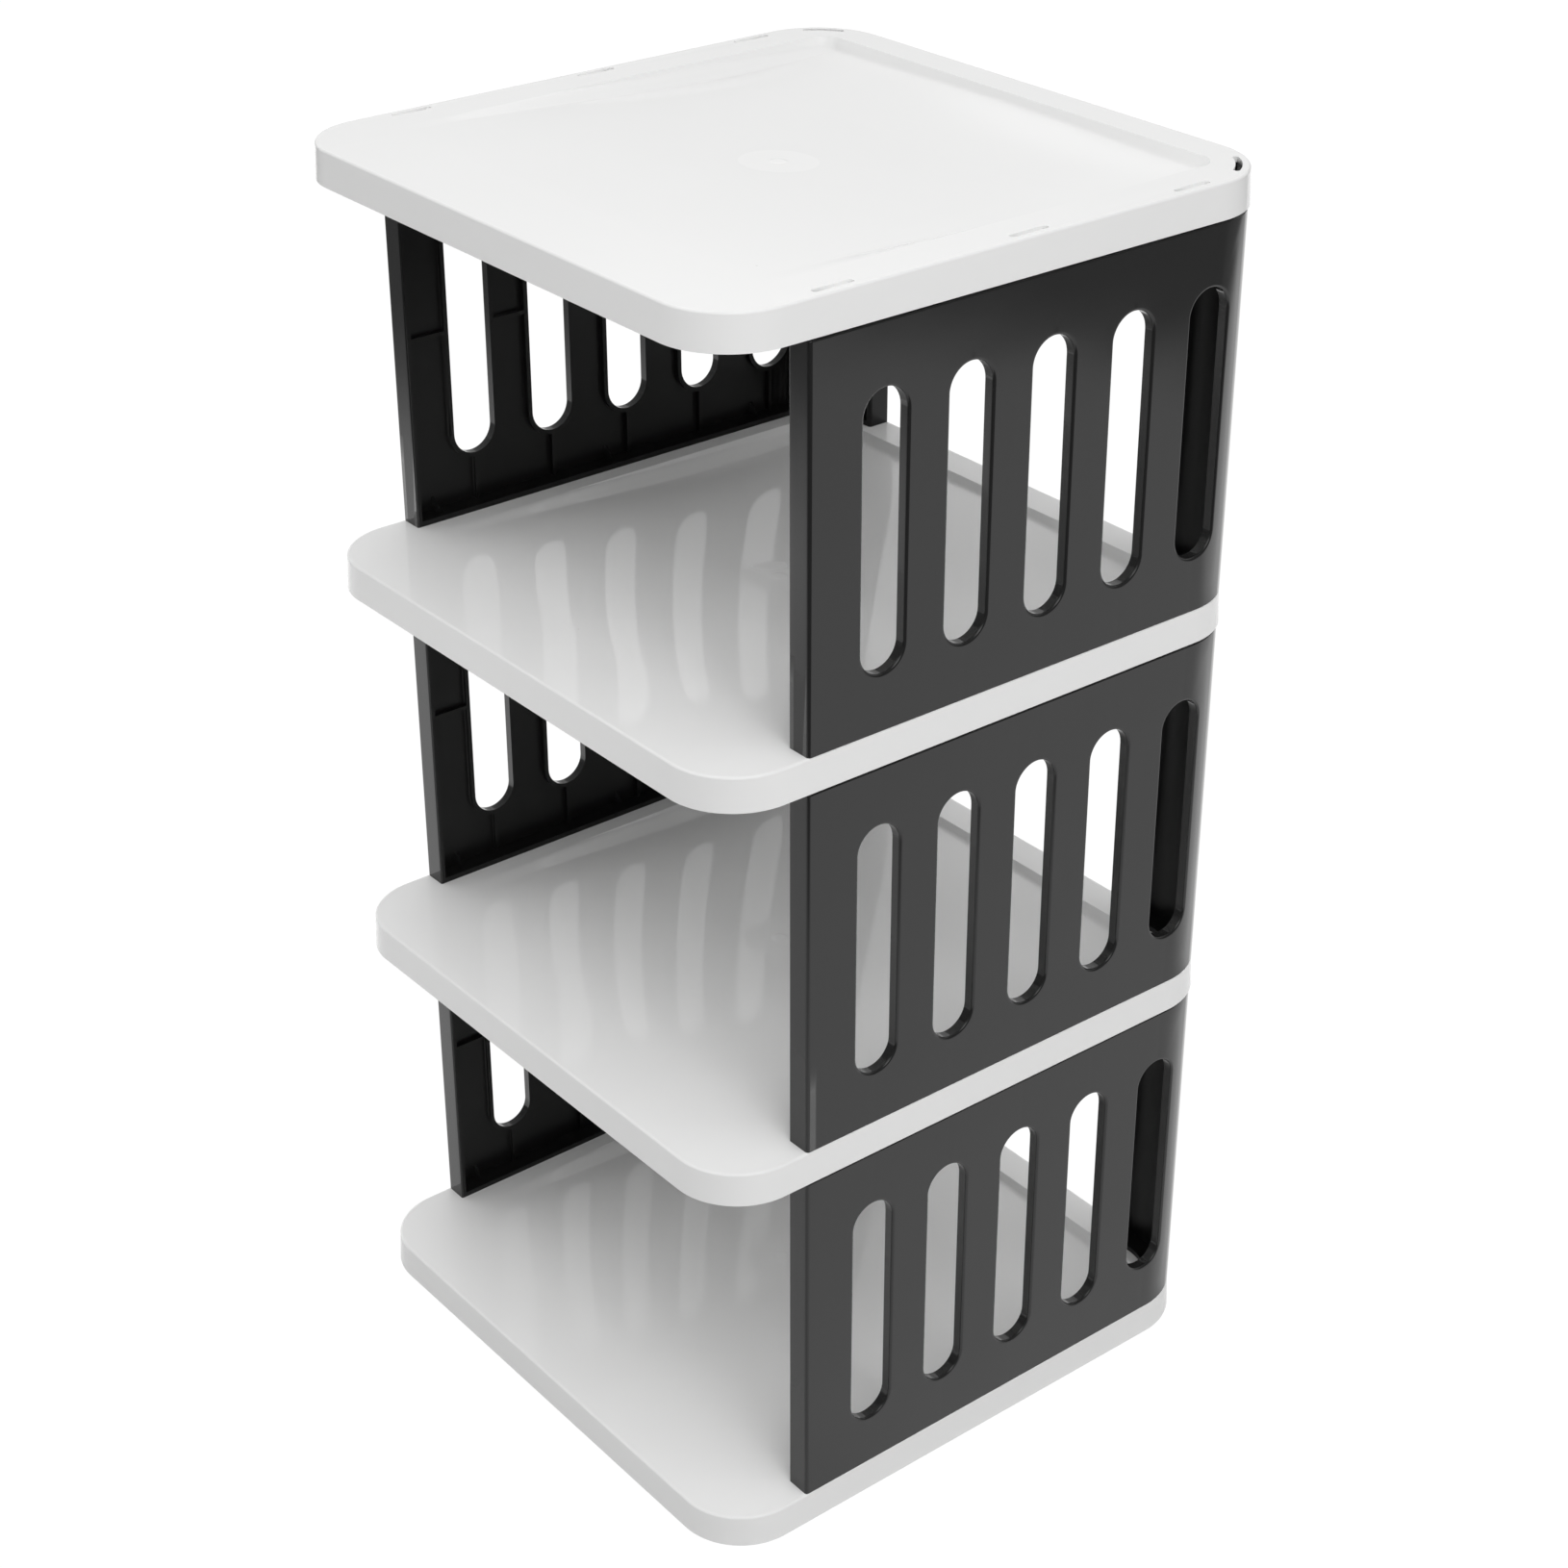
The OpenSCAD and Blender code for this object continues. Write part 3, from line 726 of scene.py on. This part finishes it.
def vent_cell(middle):
    """The wall of one vent's lip, and the face round the vent with its rounded mouth, as two grids:
    rows go round the vent and columns outwards. The outline is two half circles joined by straight
    sides. The mouth's edge is a quarter of a circle, and the face spreads from it in straight lines
    to the cell's own rectangle."""
    half = VENT_PITCH / 2
    top_corner = math.degrees(math.atan2(FACE_TOP - VENT_HEAD, half))
    foot_corner = math.degrees(math.atan2(VENT_FOOT, half))
    head = spread([0.0, top_corner, 180.0 - top_corner, 180.0], [20, 22, 20])
    base = spread([180.0, 180.0 + foot_corner, 360.0 - foot_corner, 360.0], [20, 22, 20])
    angle = np.radians(np.concatenate([head, base, [360.0]]))
    centre = np.concatenate([np.full(len(head), VENT_HEAD), np.full(len(base), VENT_FOOT), [VENT_HEAD]])
    way_y, way_z = np.cos(angle), np.sin(angle)
    reach_y = half / np.maximum(np.abs(way_y), 1e-9)
    limit = np.where(way_z > 0, FACE_TOP - VENT_HEAD, VENT_FOOT)
    reach_z = limit / np.maximum(np.abs(way_z), 1e-9)
    reach = np.minimum(reach_y, reach_z)
    border_run = middle + way_y * reach
    border_z = centre + way_z * reach

    turn = np.radians(np.linspace(0.0, 90.0, 13))
    off = np.concatenate([[0.0, 0.0], MOUTH_EDGE * (1 - np.cos(turn))])
    deep = np.concatenate([[LIP_DEPTH, LIP_WAIST], MOUTH_EDGE * (1 - np.sin(turn))])
    y = middle + way_y[:, None] * (VENT_HALF + off)[None, :]
    z = centre[:, None] + way_z[:, None] * (VENT_HALF + off)[None, :]
    ring = bent_place(run_at(y), z) - np.stack([deep + 0 * y, 0 * y, 0 * y], axis=-1)

    share = np.array([0.0, 0.12, 0.35, 0.65, 1.0])
    edge_run = run_at(y[:, -1])
    run = edge_run[:, None] + (border_run - edge_run)[:, None] * share[None, :]
    height = z[:, -1:] + (border_z - z[:, -1])[:, None] * share[None, :]
    face = np.concatenate([ring[:, 2:], bent_place(run, height)[:, 1:]], axis=1)
    return ring[::-1, :3], face[::-1]


def vent_edge(y, z):
    """Distance out from the nearest vent's outline."""
    middle = VENT_FIRST + VENT_PITCH * min(max(round((y - VENT_FIRST) / VENT_PITCH), 0), VENTS - 1)
    return math.hypot(y - middle, max(z - VENT_HEAD, 0.0, VENT_FOOT - z)) - VENT_HALF


def face_inset(x, y):
    """Distance in from the panel's outer face: from the side, the bend or the return along the
    rear."""
    if y <= REAR_BEND:
        return HALF_WIDTH - x
    if x <= HALF_WIDTH - REAR_CORNER:
        return HALF_WIDTH - y
    return REAR_CORNER - math.hypot(x - HALF_WIDTH + REAR_CORNER, y - REAR_BEND)


# How near the middle of a CAD face lies to the skin or the end that it belongs to, how far back
# the vents go, and limits on the normals of a level face, the flange's front and its inner side
SKIN_NEAR = 0.12
END_NEAR = 0.05
END_CORNER = 0.6
FLANGE_BEHIND = 1.0
VENTS_REAR = 123.0
LEVEL_FACES = 0.999
FRONT_FACES = 0.6
INNER_FACES = 0.9


def panel_face_goes(x, y, z, normal):
    """Whether a finer skin replaces a CAD face, from the face's middle and normal as on a
    right-hand panel: the outer face with its rounded edges, the flange's front, the end of the rear
    return, and each vent's mouth and the wall of its lip."""
    inset = face_inset(x, y)
    edge = vent_edge(y, z)
    inner_flange = normal[0] > INNER_FACES and x < HALF_WIDTH - FLANGE_BEHIND
    in_front = y < PANEL_FRONT + FLANGE_EDGE + END_NEAR
    flange = in_front and normal[1] < FRONT_FACES and not inner_flange
    end_corner = x < RETURN_END + END_CORNER and y < FLANGE_INNER + END_CORNER
    end = x < RETURN_END + END_NEAR or end_corner
    front_edge = inset < PANEL_EDGE and y < PANEL_FRONT + PANEL_EDGE
    top_edge = inset < SHOULDER_EDGE and z > FACE_TOP - FACE_NEAR and normal[2] < LEVEL_FACES
    rear_edge = inset < PANEL_EDGE and x < RETURN_END + PANEL_EDGE and y > 0
    skin = inset < SKIN_NEAR or front_edge or top_edge or rear_edge or flange or end
    upright = abs(normal[2]) < LEVEL_FACES and 0.0 < z < SHOULDER
    in_mouth = -2 * FACE_NEAR < edge < MOUTH_EDGE + FACE_NEAR and y < VENTS_REAR
    by_vent = in_mouth and x > HALF_WIDTH - LIP_DEPTH + FACE_CLOSE
    return upright and skin or by_vent and (edge < FACE_NEAR or inset < MOUTH_EDGE)


# Shallow sink marks over the upright ribs behind the face, above and below each vent, as a height
# in metres: a bell e^(-r^2) across each rib, where r is the distance from the rib as a share of the
# width
rib_sink, sink_in, sink_out = node_group("rib_sink", [("Depth", 0.00002), ("Width", 0.001)], "Height")
sink_place = rib_sink.nodes.new("ShaderNodeSeparateXYZ")
wire(rib_sink, rib_sink.nodes.new("ShaderNodeTexCoord").outputs["Object"], sink_place.inputs[0])
sink_step = calc(
    rib_sink, "MULTIPLY_ADD", sink_place.outputs[1], 1 / (VENT_PITCH * MM), -VENT_FIRST / VENT_PITCH)
sink_near = calc(rib_sink, "SUBTRACT", sink_step, calc(rib_sink, "ROUND", sink_step))
sink_away = calc(rib_sink, "MULTIPLY", sink_near, VENT_PITCH * MM)
sink_ratio = calc(rib_sink, "DIVIDE", sink_away, sink_in.outputs["Width"])
sink_square = calc(rib_sink, "POWER", sink_ratio, 2.0)
sink_bell = calc(rib_sink, "EXPONENT", calc(rib_sink, "MULTIPLY", sink_square, -1.0))
above_foot = calc(rib_sink, "SUBTRACT", sink_place.outputs[2], PANEL_FEET["lower"] * MM)
tier_height = calc(rib_sink, "WRAP", above_foot, TIER_PITCH * MM, 0.0)
sink_top = ramp(rib_sink, tier_height, SINK_ABOVE[0] * MM, SINK_ABOVE[1] * MM)
sink_foot = ramp(rib_sink, tier_height, SINK_BELOW[0] * MM, SINK_BELOW[1] * MM, 1.0, 0.0)
sink_mask = calc(rib_sink, "MULTIPLY", sink_bell, calc(rib_sink, "ADD", sink_top, sink_foot))
sink_depth = calc(rib_sink, "MULTIPLY", sink_mask, sink_in.outputs["Depth"])
wire(rib_sink, calc(rib_sink, "MULTIPLY", sink_depth, -1.0), sink_out.inputs["Height"])

# Glossy black plastic of the face, faintly smoky and specked
FACE_DARK = 0.013
FACE_LIGHT = 0.018
FACE_SPECK = 0.07
FACE_ROUGHNESS = 0.06
FACE_UNEVENNESS = 0.05

panel_black, tree, shader, place = new_plastic("black_moulded_plastic", 0.5)
smoky = noise(tree, place, scale=7.0, detail=3.0, roughness=0.6)
specks = place_group(tree, dust_specks, Scale=70.0, Size=0.04)
clean = two_tones(tree, smoky, FACE_DARK, FACE_LIGHT)
wire(tree, two_tones(tree, specks, clean, FACE_SPECK), shader.inputs["Base Color"])
uneven = calc(tree, "MULTIPLY_ADD", smoky, FACE_UNEVENNESS, FACE_ROUGHNESS)
wire(tree, uneven, shader.inputs["Roughness"])
skin = place_group(
    tree, moulded_skin, Wave_Scale=16.0, Wave_Height=0.0004, Peel_Scale=240.0, Peel_Height=0.000003)
sink = place_group(tree, rib_sink, Depth=0.000025, Width=0.0012)
wire(tree, raised(tree, calc(tree, "ADD", skin, sink)), shader.inputs["Normal"])

# Duller black plastic of the inner side and the ribs. Its rougher, weaker gloss is the moulding's
# own; its colour, darker than the face's, is painted shade for the rack's inside.
SHADED_INNER_DARK = 0.008
SHADED_INNER_LIGHT = 0.011
INNER_ROUGHNESS = 0.24
INNER_UNEVENNESS = 0.12

panel_inside, tree, shader, place = new_plastic("dull_shaded_black_plastic", 0.3)
smoky = noise(tree, place, scale=11.0, detail=4.0, roughness=0.6)
wire(tree, two_tones(tree, smoky, SHADED_INNER_DARK, SHADED_INNER_LIGHT), shader.inputs["Base Color"])
uneven = calc(tree, "MULTIPLY_ADD", smoky, INNER_UNEVENNESS, INNER_ROUGHNESS)
wire(tree, uneven, shader.inputs["Roughness"])
skin = place_group(
    tree, moulded_skin, Wave_Scale=20.0, Wave_Height=0.0001, Peel_Scale=420.0, Peel_Height=0.000006)
wire(tree, raised(tree, skin), shader.inputs["Normal"])

side_start = (HALF_WIDTH, VENT_FIRST - VENT_PITCH / 2)
vents_end = math.degrees((VENT_FIRST + (VENTS - 0.5) * VENT_PITCH - REAR_BEND) / REAR_CORNER)
bend = (REAR_BEND, REAR_BEND)
front_run = plan_run(
    ((FLANGE_INNER + FLANGE_EDGE, PANEL_FRONT + FLANGE_EDGE), FLANGE_EDGE, 180, 270, 5),
    ((FLANGE_INNER + FLANGE_EDGE, PANEL_FRONT), (HALF_WIDTH - PANEL_EDGE, PANEL_FRONT), 4),
    ((HALF_WIDTH - PANEL_EDGE, PANEL_FRONT + PANEL_EDGE), PANEL_EDGE, 270, 360, 10),
    ((HALF_WIDTH, PANEL_FRONT + PANEL_EDGE), side_start, 4))
side_run = plan_run(
    (side_start, (HALF_WIDTH, REAR_BEND), 40),
    (bend, REAR_CORNER, 0, vents_end, 20))
rear_run = plan_run(
    (bend, REAR_CORNER, vents_end, 90, 44),
    ((REAR_BEND, HALF_WIDTH), (RETURN_END + PANEL_EDGE, HALF_WIDTH), 4),
    ((RETURN_END + PANEL_EDGE, HALF_WIDTH - PANEL_EDGE), PANEL_EDGE, 90, 135, 5))
end_run = plan_run(
    ((RETURN_END + PANEL_EDGE, HALF_WIDTH - PANEL_EDGE), PANEL_EDGE, 135, 180, 5),
    ((RETURN_END, HALF_WIDTH - PANEL_EDGE), (RETURN_END, FLANGE_INNER + PANEL_EDGE), 4),
    ((RETURN_END + PANEL_EDGE, FLANGE_INNER + PANEL_EDGE), PANEL_EDGE, 180, 270, 8))
upright = [(0.0, height) for height in np.linspace(0.0, FACE_TOP, 5)]
shoulder = arc_profile(-SHOULDER_EDGE, FACE_TOP, SHOULDER_EDGE, 8)
glossy, duller = 0, 1
side_profile = upright + shoulder[1:]
skins = [
    (carried(front_run, side_profile), glossy), (carried(rear_run, side_profile), glossy),
    (carried(end_run, side_profile), duller), (carried(side_run, shoulder), glossy)]
for vent in range(VENTS):
    lip_wall, mouth_and_face = vent_cell(VENT_FIRST + VENT_PITCH * vent)
    skins += [(lip_wall, glossy), (mouth_and_face, glossy)]

for tier, foot in PANEL_FEET.items():
    for hand, side in (("left", -1), ("right", 1)):
        node = tier + "_" + hand + "_panel"
        body = node_body(node)
        gone = []
        for face in body.faces:
            x, y, z = face.calc_center_median() / MM
            normal = (face.normal.x * side, face.normal.y, face.normal.z)
            if panel_face_goes(x * side, y, z - foot, normal):
                gone.append(face)
        bmesh.ops.delete(body, geom=gone, context="FACES")
        merge_flats(body)
        for face in body.faces:
            face.material_index = duller
        for skin_grid, finish in skins:
            grid = skin_grid if side > 0 else skin_grid[::-1] * (-1.0, 1.0, 1.0)
            add_grid(body, grid + (0.0, 0.0, foot), finish)
        shell = finish_piece(body, node + "_moulding", [panel_black, panel_inside])
        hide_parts(node)
